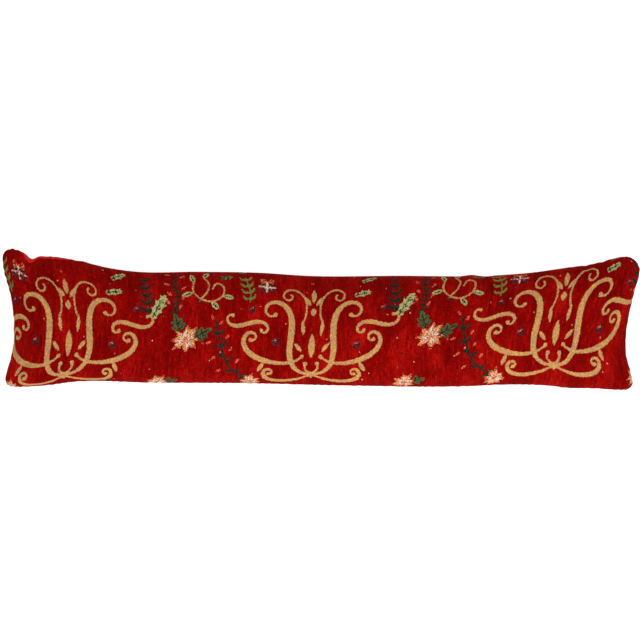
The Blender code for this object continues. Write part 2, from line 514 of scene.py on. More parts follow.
@dataclass(frozen=True)
class SewnGrid:
    """Numbering of a closed cover made of a face grid and a back grid that share their rim.

    The back may keep only some of the face's rows across. The faces at its two ends then
    take in every rim point between two of its rows.
    """

    cells_along: int
    cells_across: int
    back_rows: tuple[int, ...]

    @classmethod
    def full(cls, cells_along: int, cells_across: int) -> "SewnGrid":
        """A cover whose back has every row of the face."""
        return cls(cells_along, cells_across, tuple(range(cells_across + 1)))

    @property
    def face_ids(self) -> Numbers:
        """Point numbers of the face grid."""
        shape = (self.cells_along + 1, self.cells_across + 1)
        return np.arange(shape[0] * shape[1]).reshape(shape)

    @property
    def back_ids(self) -> Numbers:
        """Point numbers of the back's rows.

        Returns:
            The face's own numbers along the rim, and further ones inside it.
        """
        ids = self.face_ids[:, list(self.back_rows)].copy()
        inner = ids[1:-1, 1:-1]
        inner[:] = self.face_ids.size + np.arange(inner.size).reshape(inner.shape)
        return ids

    def rim_indices(self) -> Numbers:
        """Point numbers of the rim."""
        ids = self.face_ids
        return np.unique(np.concatenate([ids[0], ids[-1], ids[:, 0], ids[:, -1]]))

    def join(self, sheets: Sheets) -> Numbers:
        """Puts what two full grids hold into one row per point of the cover.

        Args:
            sheets: values of the face and of the back, each on a full grid.

        Returns:
            The face's rows, then those of the back's inner points.
        """
        face, back = (part.reshape(part.shape[:2] + (-1,)) for part in sheets)
        inner = back[:, list(self.back_rows)][1:-1, 1:-1]
        width = face.shape[-1]
        return np.concatenate([face.reshape(-1, width), inner.reshape(-1, width)])

    def split(self, rows: Numbers) -> Sheets:
        """Parts one row per point into two full grids again, for a cover with all its rows."""
        return Sheets(rows[self.face_ids], rows[self.back_ids])

    def polygons(self) -> tuple[Numbers, Numbers]:
        """Lists the cover's faces: four corners each, and more for those at the back's ends.

        Returns:
            Corners of every face, facing out, and how many corners each face has.
        """
        face, back = self.face_ids, self.back_ids
        top = np.stack([face[:-1, :-1], face[1:, :-1], face[1:, 1:], face[:-1, 1:]], -1)
        under = np.stack([back[:-1, :-1], back[:-1, 1:], back[1:, 1:], back[1:, :-1]], -1)
        corners = [top.reshape(-1, 4), under[1:-1].reshape(-1, 4)]
        counts = np.full(sum(len(part) for part in corners), 4)
        ends = []
        for column, (low, high) in enumerate(zip(self.back_rows, self.back_rows[1:])):
            left = face[0, low : high + 1]
            right = face[-1, low : high + 1][::-1]
            ends.append(np.concatenate([left, back[1, [column + 1, column]]]))
            ends.append(np.concatenate([right, back[-2, [column, column + 1]]]))
        counts = np.concatenate([counts, [len(end) for end in ends]])
        return np.concatenate([part.ravel() for part in corners] + ends), counts

    def object(self, name: str, points: Numbers) -> bpy.types.Object:
        """Makes the cover's mesh object.

        Args:
            name: the object's name.
            points: one place for each point, in metres.

        Returns:
            The object, linked to the scene.
        """
        corners, counts = self.polygons()
        mesh = bpy.data.meshes.new(name)
        mesh.vertices.add(len(points))
        mesh.vertices.foreach_set("co", points.astype(np.float32).ravel())
        mesh.loops.add(len(corners))
        mesh.loops.foreach_set("vertex_index", corners.astype(np.int32))
        mesh.polygons.add(len(counts))
        starts = np.concatenate([[0], np.cumsum(counts)[:-1]])
        mesh.polygons.foreach_set("loop_start", starts.astype(np.int32))
        mesh.update(calc_edges=True)
        mesh.validate()
        mesh.shade_smooth()
        made = bpy.data.objects.new(name, mesh)
        bpy.context.scene.collection.objects.link(made)
        return made


class Thread(Enum):
    """The coloured threads that the motifs are woven in, each the name of its attribute."""

    PLUM = "plum"
    FIR = "fir"
    MOSS = "moss"
    LEAF = "leaf"
    SAGE = "sage"
    GOLD = "gold"
    ROSE = "rose"
    CORAL = "coral"
    AMBER = "amber"
    CREAM = "cream"
    INK = "ink"


@dataclass(frozen=True)
class Stroke:
    """A line on the flat cloth and its half width at each of its points, in millimetres."""

    line: Numbers
    half: Numbers

    def placed(self, x: float, y: float, turn: float = 0.0, size: float = 1.0) -> "Stroke":
        """Makes the stroke larger, turns it and moves it.

        Args:
            x: how far it moves along.
            y: how far it moves across.
            turn: how far it turns against the clock, in degrees.
            size: how many times larger it gets.

        Returns:
            The placed stroke.
        """
        angle = math.radians(turn)
        along = [math.cos(angle), math.sin(angle)]
        across = [-math.sin(angle), math.cos(angle)]
        return Stroke(self.line * size @ np.array([along, across]) + [x, y], self.half * size)

    def mirrored(self) -> "Stroke":
        """Turns the stroke over about the line x = 0."""
        return Stroke(self.line * [-1, 1], self.half)


class Inlay(NamedTuple):
    """One stroke woven in one thread."""

    thread: Thread
    stroke: Stroke


Motif = list[Inlay]
SIDES = (-1, 1)
DOT_LINE = 0.01
LEAF_POINTS = 10
PEN_STEPS = 5


class Design(Protocol):
    """A motif that draws itself about its own origin."""

    def draw(self) -> Motif:
        """Draws the motif, in millimetres."""


def woven(thread: Thread, *strokes: Stroke) -> Motif:
    """Weaves some strokes in one thread."""
    return [Inlay(thread, stroke) for stroke in strokes]


def place(motif: Motif, x: float, y: float, turn: float = 0.0, size: float = 1.0) -> Motif:
    """Puts a whole motif somewhere on the cloth."""
    return [Inlay(thread, stroke.placed(x, y, turn, size)) for thread, stroke in motif]


def reached(shares: tuple, x: float, y: float, wide: float, tall: float) -> tuple:
    """Places that lie at shares of a width and of a height from a place."""
    return tuple((x + across * wide, y + up * tall) for across, up in shares)


def dot(x: float, y: float, radius: float) -> Stroke:
    """A round spot: a line that is all but a point."""
    return Stroke(np.array([[x - DOT_LINE, y], [x + DOT_LINE, y]]), np.full(2, radius))


def blade(length: float, half: Numbers) -> Stroke:
    """A straight stroke along x from the origin, with its half widths at even steps."""
    along = np.linspace(0, length, len(half))
    return Stroke(np.stack([along, np.zeros(len(half))], axis=-1), half)


def pen(points: tuple, half: float, tip: float | None = None, belly: float = 0.0) -> Stroke:
    """A smooth line through points, whose half width runs evenly from half to tip.

    Args:
        points: places that the line passes.
        half: half width at the start.
        tip: half width at the end, the same as at the start where it is left out.
        belly: what the middle has on top, by a half sine.

    Returns:
        The stroke.
    """
    share = np.linspace(0, 1, PEN_STEPS * len(points))
    line = smooth(np.linspace(0, 1, len(points)), np.array(points, float), share)
    tip = half if tip is None else tip
    return Stroke(line, half + (tip - half) * share + belly * np.sin(np.pi * share))


class Leaf(NamedTuple):
    """A leaf on a straight line: its stalk, its heading in degrees, its length and half width."""

    x: float
    y: float
    turn: float
    length: float
    fat: float

    def rounded(self) -> Stroke:
        """Draws it with a half width that is nearly a half sine.

        The sine is read from just past its start to just before its end, and raised to a
        power a little under one.

        Returns:
            The stroke.
        """
        start, end, power = 0.06, 0.98, 0.9
        half = self.fat * np.sin(np.pi * np.linspace(start, end, LEAF_POINTS)) ** power
        return blade(self.length, half).placed(self.x, self.y, self.turn)

    def pointed(self) -> Stroke:
        """Draws it with a half width that grows evenly and then tapers by a power.

        The share of the way from the root is multiplied by a power of the share left to the
        tip, and by a gain that brings the widest place to about the given half width.

        Returns:
            The stroke.
        """
        root, tip, taper, gain = 0.03, 1.01, 1.6, 5.65
        share = np.linspace(0, 1, LEAF_POINTS)
        half = self.fat * gain * (share + root) * (tip - share) ** taper
        return blade(self.length, half).placed(self.x, self.y, self.turn)


class Lozenge(NamedTuple):
    """An upright lozenge on the middle line: the height it stands at, and its two sizes."""

    y: float
    tall: float
    wide: float

    def stroke(self) -> Stroke:
        """Draws it with a half width that falls evenly from its middle to both tips.

        Returns:
            The stroke.
        """
        points, width_share, tip = 9, 0.4, 0.1
        share = np.linspace(-1, 1, points)
        line = np.stack([np.zeros(points), self.y + share * self.tall / 2], axis=-1)
        return Stroke(line, (1 - np.abs(share)) * self.wide * width_share + tip)


class Scroll(NamedTuple):
    """A curled stroke that is thick in its middle and thin towards its two curls.

    x, y and heading are those of its middle. Along it the heading turns evenly by bow, and
    near the ends by the two curls besides, in degrees: like signs make a C, unlike ones an S.
    """

    x: float
    y: float
    heading: float
    length: float
    bow: float
    first_curl: float
    last_curl: float
    thick: float
    thin: float
    eye: float
    tightness: float

    def stroke(self) -> Stroke:
        """Adds up short steps along the heading.

        The half width swells from thin to thick by a power of a half sine, and near both
        ends it is at least the root of what is left of the eye's reach.

        Returns:
            The stroke.
        """
        steps, swell, eye_reach = 72, 1.4, 1.6
        share = np.linspace(0, 1, steps)
        curl = self.last_curl * share**self.tightness
        curl = curl - self.first_curl * (1 - share) ** self.tightness
        heading = np.radians(self.heading + self.bow * (share - 0.5) + curl)
        step = self.length / (steps - 1)
        line = np.cumsum(np.stack([np.cos(heading), np.sin(heading)], axis=-1) * step, axis=0)
        half = self.thin + (self.thick - self.thin) * np.sin(np.pi * share) ** swell
        if self.eye:
            from_end = np.minimum(share, 1 - share) * self.length / (eye_reach * self.eye)
            half = np.maximum(half, self.eye * np.sqrt(np.clip(1 - from_end, 0, 1)))
        return Stroke(line - line[steps // 2] + [self.x, self.y], half)


@dataclass(frozen=True)
class Scrollwork:
    """Gold scrollwork that is the same on both sides of its upright middle line."""

    scrolls: tuple[Scroll, ...] = (
        Scroll(29, -12, 112, 196, 0, 235, -330, 4.3, 1.2, 3.0, 5),
        Scroll(78, -46, 22, 138, 30, 60, 350, 3.8, 1.2, 2.8, 5.5),
        Scroll(88, 2, 152, 92, 0, -250, 280, 3.0, 1.2, 2.5, 5.5),
        Scroll(50, -88, -2, 98, 60, 0, 330, 3.5, 1.2, 2.8, 5.0),
        Scroll(20, 50, 62, 104, -110, 0, -330, 1.3, 1.2, 0, 4),
    )
    side_leaves: tuple[Leaf, ...] = (
        Leaf(12, -14, 84, 22, 2.6),
        Leaf(14, -38, 52, 16, 2.7),
        Leaf(66, -55, -64, 17, 3.0),
        Leaf(4, 30, 58, 14, 2.5),
    )
    middle_leaves: tuple[Leaf, ...] = (Leaf(0, 34, 90, 20, 3.4), Leaf(0, -46, 90, 34, 4.6))
    lozenges: tuple[Lozenge, ...] = (Lozenge(20, 13, 10), Lozenge(-76, 12, 9))

    def draw(self) -> Motif:
        """Mirrors the scrolls and their leaves, and adds what stands on the middle line.

        Returns:
            The motif.
        """
        side = [scroll.stroke() for scroll in self.scrolls]
        side += [leaf.rounded() for leaf in self.side_leaves]
        middle = [leaf.rounded() for leaf in self.middle_leaves]
        middle += [lozenge.stroke() for lozenge in self.lozenges]
        return woven(Thread.GOLD, *side, *(stroke.mirrored() for stroke in side), *middle)


class Streak(NamedTuple):
    """A petal or a streak along one, in one thread.

    It starts at a place ahead of the flower's middle and aside of the petal's line, has a
    share of the petal's length, and may stand off by some degrees about the middle.
    """

    thread: Thread
    ahead: float
    aside: float
    turn: float
    share: float
    fat: float
    spread: float = 0.0


@dataclass(frozen=True)
class Poinsettia:
    """A star of broad coral petals, each with cream and amber streaks along it."""

    petals: int = 8
    reach: float = 18.5
    reach_sway: float = 2.4
    turn_sway: float = 8.0
    tall: float = 1.12
    streaks: tuple[Streak, ...] = (
        Streak(Thread.CORAL, 1.0, 0.0, 0, 1.0, 3.9),
        Streak(Thread.AMBER, 4.0, 1.5, 5, 0.66, 1.5),
        Streak(Thread.CREAM, 2.6, -0.7, -2, 0.72, 1.25),
        Streak(Thread.INK, 5.0, 0.4, 2, 0.34, 0.2),
        Streak(Thread.AMBER, 3.0, 0.0, 0, 0.6, 1.0, 22),
        Streak(Thread.CREAM, 4.0, 0.0, 0, 0.4, 0.8, 17),
    )

    def draw(self) -> Motif:
        """Turns the petals round the middle.

        Sines of a petal's number change its heading and its length a little, upright petals
        are longer, and the streaks lean to one side and the other by turns.

        Returns:
            The motif.
        """
        motif = woven(Thread.CORAL, dot(0, 0, 2.0)) + woven(Thread.PLUM, dot(0.6, 0.4, 1.0))
        for number in range(self.petals):
            sway = self.turn_sway * math.sin(2.1 * number + 0.5)
            heading = 360 * number / self.petals + sway
            upright = abs(math.sin(math.radians(heading)))
            long = self.reach + self.reach_sway * math.sin(1.7 * number)
            long *= 1 + (self.tall - 1) * upright
            side = SIDES[number % 2]
            for row in self.streaks:
                leaf = Leaf(row.ahead, side * row.aside, side * row.turn, long * row.share, row.fat)
                motif += place(woven(row.thread, leaf.pointed()), 0, 0, heading + row.spread)
        return motif


@dataclass(frozen=True)
class LobedLeaf:
    """A green leaf with rounded lobes and dark veins, its stalk at the origin."""

    lobes: int = 2
    long: float = 27.0
    body_fat: float = 2.6
    first_lobe: float = 0.1
    lobe_step: float = 0.3
    lobe_long: float = 11.5
    lobe_less: float = 1.5
    lobe_fat: float = 3.1
    lobe_turn: float = 56.0
    vein_share: float = 0.72

    def draw(self) -> Motif:
        """Sets a pair of veined lobes at each step along the rib and one at its end.

        Returns:
            The motif.
        """
        half_way = self.long / 2
        body = Leaf(0, 0, 0, self.long * 0.9, self.body_fat)
        end_lobe = Leaf(half_way, 0, 0, half_way, self.lobe_fat + 0.4)
        motif = woven(Thread.MOSS, body.rounded(), end_lobe.rounded())
        for number in range(self.lobes):
            x = self.long * (self.first_lobe + self.lobe_step * number)
            long = self.lobe_long - self.lobe_less * number
            vein = pen(((0, 0), (long * self.vein_share, 0)), 0.9, 0.6)
            for side in SIDES:
                lobe = Leaf(x, 0, side * self.lobe_turn, long, self.lobe_fat)
                motif += woven(Thread.MOSS, lobe.rounded())
                motif += woven(Thread.INK, vein.placed(x, 0, lobe.turn))
        rib = ((0.5, 0), (half_way, 0.3), (self.long * 0.86, 0))
        return motif + woven(Thread.INK, pen(rib, 1.25, 0.7))


@dataclass(frozen=True)
class HollyLeaf:
    """A sage holly leaf with sharp thorns and dark veins, its stalk at the origin."""

    long: float = 36.0
    wide: float = 7.0
    thorns: int = 4
    blade_points: int = 14
    blade_share: float = 0.84
    blade_power: float = 0.55
    inner_reach: float = 1.26
    end_reach: float = 0.86
    thorn_line: tuple = ((-0.1, 0.45), (0.1, 0.75), (0.35, 1.0))
    vein_turn: float = 32.0

    def draw(self) -> Motif:
        """Widens a straight rib into the blade, then adds the thorns and the veins.

        The blade's half width is a low power of a half sine. Each thorn is a bent line that
        reaches out and forward by shares of its reach.

        Returns:
            The motif.
        """
        early, late = 0.03, 0.97
        sine = np.sin(np.pi * np.linspace(early, late, self.blade_points))
        half = self.blade_share * self.wide * sine**self.blade_power
        motif = woven(Thread.SAGE, blade(self.long, half))
        last = self.thorns - 1
        for number in range(self.thorns):
            x = self.long * (0.06 + 0.84 * number / last)
            reach = self.wide * (self.inner_reach if 0 < number < last else self.end_reach)
            for side in SIDES:
                thorn = reached(self.thorn_line, x, 0, reach, side * reach)
                motif += woven(Thread.SAGE, pen(thorn, 0.3 * self.wide, 0.1))
                if number < last:
                    root = (x + 0.3 * self.wide, side * 0.18 * self.wide)
                    vein = Leaf(*root, side * self.vein_turn, 0.6 * self.wide, 1.0)
                    motif += woven(Thread.INK, vein.rounded())
        rib = ((0.5, 0), (self.long * 0.5, 0.5), (self.long * 0.84, 0))
        return motif + woven(Thread.INK, pen(rib, 1.0, 0.7))


@dataclass(frozen=True)
class FirSprig:
    """A dark sprig with pairs of thick bent needles, which stands up from the origin."""

    pairs: int = 5
    long: float = 52.0
    bare_tip: float = 6.0
    needle: float = 13.0
    needle_line: tuple = ((0.42, 0.3), (0.9, 0.8))
    shortening: float = 0.42

    def draw(self) -> Motif:
        """Shortens and thins the needles evenly towards the tip.

        Returns:
            The motif.
        """
        stem = ((0, -7), (1.5, self.long * 0.35), (-0.5, self.long * 0.7), (0.5, self.long))
        motif = woven(Thread.FIR, pen(stem, 1.1, 0.9))
        for number in range(self.pairs):
            y = (self.long - self.bare_tip) * number / (self.pairs - 1)
            reach = self.needle * (1 - self.shortening * number / self.pairs)
            for side in SIDES:
                needle = ((0.4, y), *reached(self.needle_line, 0, y, side * reach, reach))
                motif += woven(Thread.FIR, pen(needle, 1.7, 0.5, 1.3 - 0.2 * number))
        return motif


@dataclass(frozen=True)
class NeedleTwig:
    """A short dark twig with rows of pale needles in V shapes, along x from the origin."""

    long: float = 21.0
    rows: int = 5
    fat: float = 4.0
    needle_line: tuple = ((3.2, 0), (0, 0.85))

    def draw(self) -> Motif:
        """Draws the body, then a V at each step whose point looks ahead.

        Returns:
            The motif.
        """
        motif = woven(Thread.FIR, Leaf(0, 0, 0, self.long, self.fat).rounded())
        for number in range(self.rows):
            x = self.long * (0.14 + 0.74 * number / self.rows)
            for side in SIDES:
                needle = reached(self.needle_line, x, 0, 1, side * self.fat)
                motif += woven(Thread.LEAF, pen(needle, 0.75, 0.6))
        return motif


@dataclass(frozen=True)
class LightSprig:
    """A fresh green sprig with pairs of curved leaves, which stands up from the origin."""

    pairs: int = 4
    long: float = 38.0
    leaf_line: tuple = ((5.6, -0.4), (8.6, 4.6))

    def draw(self) -> Motif:
        """Sets a pair of leaves at each step up the stem.

        Returns:
            The motif.
        """
        stem = ((0, 0), (2.2, self.long * 0.4), (-0.6, self.long))
        motif = woven(Thread.LEAF, pen(stem, 1.1, 0.8))
        for number in range(self.pairs):
            y = self.long * (0.16 + 0.26 * number)
            for side in SIDES:
                leaf = ((0.8, y - 2), *reached(self.leaf_line, 0, y, side, 1))
                motif += woven(Thread.LEAF, pen(leaf, 1.0, 0.6, 0.9))
        return motif


def bud(x: float, y: float, turn: float) -> Motif:
    """A small rose bud."""
    return woven(Thread.ROSE, Leaf(x, y, turn, 7.4, 1.9).rounded())


@dataclass(frozen=True)
class BerryTwig:
    """A thin dark twig with short bare forks and rose buds beside them, which stands up."""

    long: float = 64.0
    forks: int = 8
    fork_line: tuple = ((0, 0), (3.2, 0.4), (6.4, 1.0))
    fork_rise: float = 4.0
    sway: tuple[float, ...] = (0.0, 4.0, 7.0, 5.0, 9.0)

    def draw(self) -> Motif:
        """Puts a fork on both sides at each step, and a bud past every second one.

        Returns:
            The motif.
        """
        heights = np.linspace(0, self.long, len(self.sway))
        motif = woven(Thread.FIR, pen(tuple(zip(self.sway, heights)), 1.3, 1.0))
        for number in range(self.forks):
            y = self.long * (number + 0.5) / self.forks
            x = float(np.interp(y, heights, self.sway))
            for side in SIDES:
                up = self.fork_rise + 2 * math.sin(2.3 * number + side)
                motif += woven(Thread.FIR, pen(reached(self.fork_line, x, y, side, up), 1.2, 1.0))
                if (number + (side > 0)) % 2:
                    motif += bud(x + side * 7.6, y + up + 1.4, 90 - side * (24 + 7 * number))
        return motif


class Twiglet(NamedTuple):
    """A leaf or bud beside a stem: its place and its heading in degrees."""

    x: float
    y: float
    turn: float


@dataclass(frozen=True)
class SlantingTwig:
    """A dark twig that slants down to the right from the origin, with buds beside it."""

    stem: tuple = ((0, 0), (8, -34), (22, -68), (52, -100))
    leaf_long: float = 12.5
    leaf_fat: float = 2.0
    leaves: tuple[Twiglet, ...] = (
        Twiglet(6, -20, 150),
        Twiglet(4, -20, 40),
        Twiglet(9, -38, 160),
        Twiglet(10, -38, 58),
        Twiglet(15, -54, 150),
        Twiglet(18, -60, 44),
        Twiglet(27, -76, 170),
        Twiglet(30, -80, 52),
        Twiglet(40, -90, 66),
        Twiglet(42, -92, 190),
    )
    buds: tuple[Twiglet, ...] = (
        Twiglet(-3, 2, 115),
        Twiglet(6, -6, 60),
        Twiglet(14, -26, 50),
        Twiglet(-6, -30, 200),
        Twiglet(20, -44, 58),
        Twiglet(2, -52, 210),
        Twiglet(30, -62, 60),
        Twiglet(10, -72, 215),
    )

    def draw(self) -> Motif:
        """Draws the stem, its leaves and its buds.

        Returns:
            The motif.
        """
        motif = woven(Thread.FIR, pen(self.stem, 1.4, 1.6))
        for leaf in self.leaves:
            motif += woven(Thread.FIR, Leaf(*leaf, self.leaf_long, self.leaf_fat).rounded())
        for twiglet in self.buds:
            motif += bud(*twiglet)
        return motif


@dataclass(frozen=True)
class Bauble:
    """A dark tree ball with a rose gleam. All its lines are drawn for a radius of one."""

    radius: float = 5.4
    gleam: tuple = ((-0.5, 0.28), (0.1, 0.48))
    shade: tuple = ((-0.4, -0.48), (0.48, -0.4), (0.62, 0.18))
    cap: tuple = ((0, 0.9), (0.07, 1.5))

    def draw(self) -> Motif:
        """Draws the ball, its cap, its gleam and its shade, and brings them to size.

        Returns:
            The motif.
        """
        ball = woven(Thread.PLUM, dot(0, 0, 1.0), pen(self.cap, 0.17))
        ball += woven(Thread.ROSE, pen(self.gleam, 0.2)) + woven(Thread.INK, pen(self.shade, 0.2))
        return place(ball, 0, 0, 0, self.radius)


@dataclass(frozen=True)
class CurlSpray:
    """Two thin gold tendrils with sage leaves and a small ball where they part."""

    tendrils: tuple = (
        ((-20, 18), (-22, 4), (-12, -8), (4, -12), (18, -4), (20, 10), (10, 15), (5, 7)),
        ((-12, -8), (-3, 2), (0, 14), (-6, 25)),
    )
    leaf_mark: tuple = ((2.5, 0), (11, 0.4))
    leaves: tuple[Twiglet, ...] = (
        Twiglet(-20, 17, 104),
        Twiglet(-23, 1, 196),
        Twiglet(3, -12, -52),
        Twiglet(-6, 24, 66),
        Twiglet(19, -4, -14),
    )

    def draw(self) -> Motif:
        """Draws the tendrils, the leaves with a dark mark in each, and the ball.

        Returns:
            The motif.
        """
        leaf = woven(Thread.SAGE, Leaf(0, 0, 0, 15.0, 3.5).rounded())
        leaf += woven(Thread.INK, pen(self.leaf_mark, 0.8, 0.8, 0.4))
        motif = woven(Thread.GOLD, *(pen(tendril, 1.2) for tendril in self.tendrils))
        for twiglet in self.leaves:
            motif += place(leaf, *twiglet)
        return motif + place(Bauble(3.2).draw(), -12, -12)


@dataclass(frozen=True)
class Parcel:
    """A small plum parcel of loose rows, with cream bands, a coral bow and coral specks."""

    wide: float = 21.0
    rows: int = 7
    row_pitch: float = 2.1
    band_reach: float = 7.0
    band_past: float = 1.0
    bow: tuple = ((0, 7), (6, 12.5), (8, 8), (0, 7))
    specks: int = 3

    def draw(self) -> Motif:
        """Stacks the rows, then ties the bands and the two loops of the bow.

        The specks step outwards evenly. Each lies lower by the rest of a step that does not
        go into one, so they look scattered.

        Returns:
            The motif.
        """
        middle, edge = (self.rows - 1) / 2, self.wide / 2
        motif: Motif = []
        for number in range(self.rows):
            y = (number - middle) * self.row_pitch
            motif += woven(Thread.PLUM, pen(((-edge, y), (edge, y)), 1.3))
        upright = pen(((0, -self.band_reach), (0, self.band_reach)), 1.1)
        level = pen(((-edge - self.band_past, 0.5), (edge + self.band_past, 0.5)), 0.9)
        motif += woven(Thread.CREAM, upright, level)
        for side in SIDES:
            motif += woven(Thread.CORAL, pen(reached(self.bow, 0, 0, side, 1), 1.0))
            for number in range(self.specks):
                fall = (number * 0.62 + side * 0.2) % 1
                speck = dot(side * (2.8 + 2.6 * number), 4 - 7.5 * fall, 0.8)
                motif += woven(Thread.CORAL, speck)
        return motif


class Speck(NamedTuple):
    """A kind of small spot: its thread and its radius."""

    thread: Thread
    radius: float


@dataclass(frozen=True)
class Speckles:
    """Small spots scattered over the ground of one repeat."""

    count: int = 46
    seed: int = 3
    half_long: float = 169.0
    low: float = -95.0
    high: float = 92.0
    kinds: tuple[Speck, ...] = (
        Speck(Thread.CREAM, 0.95),
        Speck(Thread.CORAL, 1.1),
        Speck(Thread.PLUM, 1.3),
        Speck(Thread.INK, 1.0),
    )

    def draw(self) -> Motif:
        """Scatters the spots evenly at random, and takes the kinds by turns.

        Returns:
            The motif.
        """
        random = np.random.default_rng(self.seed)
        motif: Motif = []
        for number in range(self.count):
            x = random.uniform(-self.half_long, self.half_long)
            y = random.uniform(self.low, self.high)
            kind = self.kinds[number % len(self.kinds)]
            motif += woven(kind.thread, dot(x, y, kind.radius))
        return motif


class Spot(NamedTuple):
    """Where a motif is put in the repeat: place, turn in degrees and size."""

    motif: Design
    x: float
    y: float
    turn: float = 0.0
    size: float = 1.0


class Grain(NamedTuple):
    """How high the middle of the panel runs in the woven pattern, at a place along it."""

    along: float
    across: float


@dataclass(frozen=True)
class WovenPattern:
    """The pattern woven into the face panel, one repeat of it, in millimetres.

    The panel was cut a little off the grain, so the pattern climbs towards its right end
    and its upright threads lean there near the foot.
    """

    pitch: float = 339.0
    first_middle: float = -351.0
    far: float = 6.0
    lean_degrees: float = 9.0
    lean_start: float = 40.0
    lean_full: float = 330.0
    layout: tuple[Spot, ...] = (
        Spot(Scrollwork(), 0, 0),
        Spot(Poinsettia(), 164, -20),
        Spot(LobedLeaf(), 156, -8, 108),
        Spot(LobedLeaf(), 176, -18, 30),
        Spot(Poinsettia(), 128, -93, 10, 0.9),
        Spot(LobedLeaf(1, 17), 140, -90, 14),
        Spot(Poinsettia(), -84, -92, 30, 0.85),
        Spot(FirSprig(), 112, 20, 4),
        Spot(HollyLeaf(), 117, 12, 60),
        Spot(BerryTwig(), 147, 12, 3),
        Spot(HollyLeaf(21, 4.4, 3), 56, 44, 14),
        Spot(CurlSpray(), -143, 46),
        Spot(SlantingTwig(), -134, 6),
        Spot(NeedleTwig(), -129, 70, 8),
        Spot(NeedleTwig(18.0), -99, 82, 70),
        Spot(LightSprig(), -87, 33, 8),
        Spot(Bauble(), 62, -29, -8),
        Spot(Bauble(4.9), 96, 24),
        Spot(Bauble(5.6), -50, -24, 10),
        Spot(Bauble(4.6), -84, 22),
        Spot(Parcel(), -64, 56, -4),
        Spot(HollyLeaf(20, 4.2, 3), 66, 66, 30),
        Spot(Speckles(), 0, 0),
    )
    grain: tuple[Grain, ...] = (
        Grain(-480, 1.0),
        Grain(-351, -1.5),
        Grain(-180, -4.0),
        Grain(-11, -8.0),
        Grain(160, -15.0),
        Grain(328, -24.0),
        Grain(480, -29.0),
    )

    def on_cloth(self, along: Numbers, across: Numbers, width: float) -> Numbers:
        """Finds the woven pattern's own coordinates of places on the cut panel.

        The lean is a shear that is steepest at the foot and fades evenly to the top.

        Args:
            along: places along the panel from its middle, in millimetres.
            across: places across it from its lower edge, in millimetres.
            width: the panel's width, in millimetres.

        Returns:
            Places along and across the weave, in the last axis, in millimetres.
        """
        keys, values = np.array(self.grain, float).T
        across_weave = across - width / 2 + smooth(keys, values, along)
        leaning = smoothstep(self.lean_start, self.lean_full, along)
        slope = math.tan(math.radians(self.lean_degrees)) * leaning
        shift = slope * (across - across**2 / (2 * width) - 3 * width / 8)
        return np.stack([along - shift, across_weave], axis=-1)

    def fields(self, places: Numbers) -> dict[Thread, Numbers]:
        """Works out how far each place lies outside each thread's motifs.

        The distance to a stroke is that to its nearest segment less the half width there,
        so it is below zero inside. Beyond a few millimetres it stays at the same value.

        Args:
            places: places in the weave, one a row, in millimetres.

        Returns:
            For each thread, one distance for each place, in millimetres.
        """
        along = (places[:, 0] - self.first_middle + self.pitch / 2) % self.pitch - self.pitch / 2
        at = np.stack([along, places[:, 1]], axis=-1)
        found = {thread: np.full(len(at), self.far) for thread in Thread}
        for motif, *where in self.layout:
            for thread, stroke in place(motif.draw(), *where):
                for repeat in (-self.pitch, 0.0, self.pitch):
                    self.weave_in(found[thread], stroke.placed(repeat, 0), at)
        return found

    def weave_in(self, field: Numbers, stroke: Stroke, at: Numbers) -> None:
        """Lowers a thread's field near one stroke.

        Args:
            field: the thread's distances, which are changed.
            stroke: the stroke.
            at: places in the weave, one for each distance.
        """
        margin = stroke.half.max() + self.far
        low, high = stroke.line.min(axis=0) - margin, stroke.line.max(axis=0) + margin
        near = np.flatnonzero(((at > low) & (at < high)).all(axis=1))
        if not len(near):
            return
        start, step = stroke.line[:-1], np.diff(stroke.line, axis=0)
        offset = at[near, None] - start
        share = np.clip((offset * step).sum(-1) / np.maximum((step * step).sum(-1), TINY), 0, 1)
        away = np.linalg.norm(offset - step * share[..., None], axis=-1)
        half = stroke.half[:-1] + np.diff(stroke.half) * share
        field[near] = np.minimum(field[near], (away - half).min(axis=1))


class SeamRoll(NamedTuple):
    """How far the upper long seam rolls to the front, in millimetres of cloth."""

    along: float
    roll: float


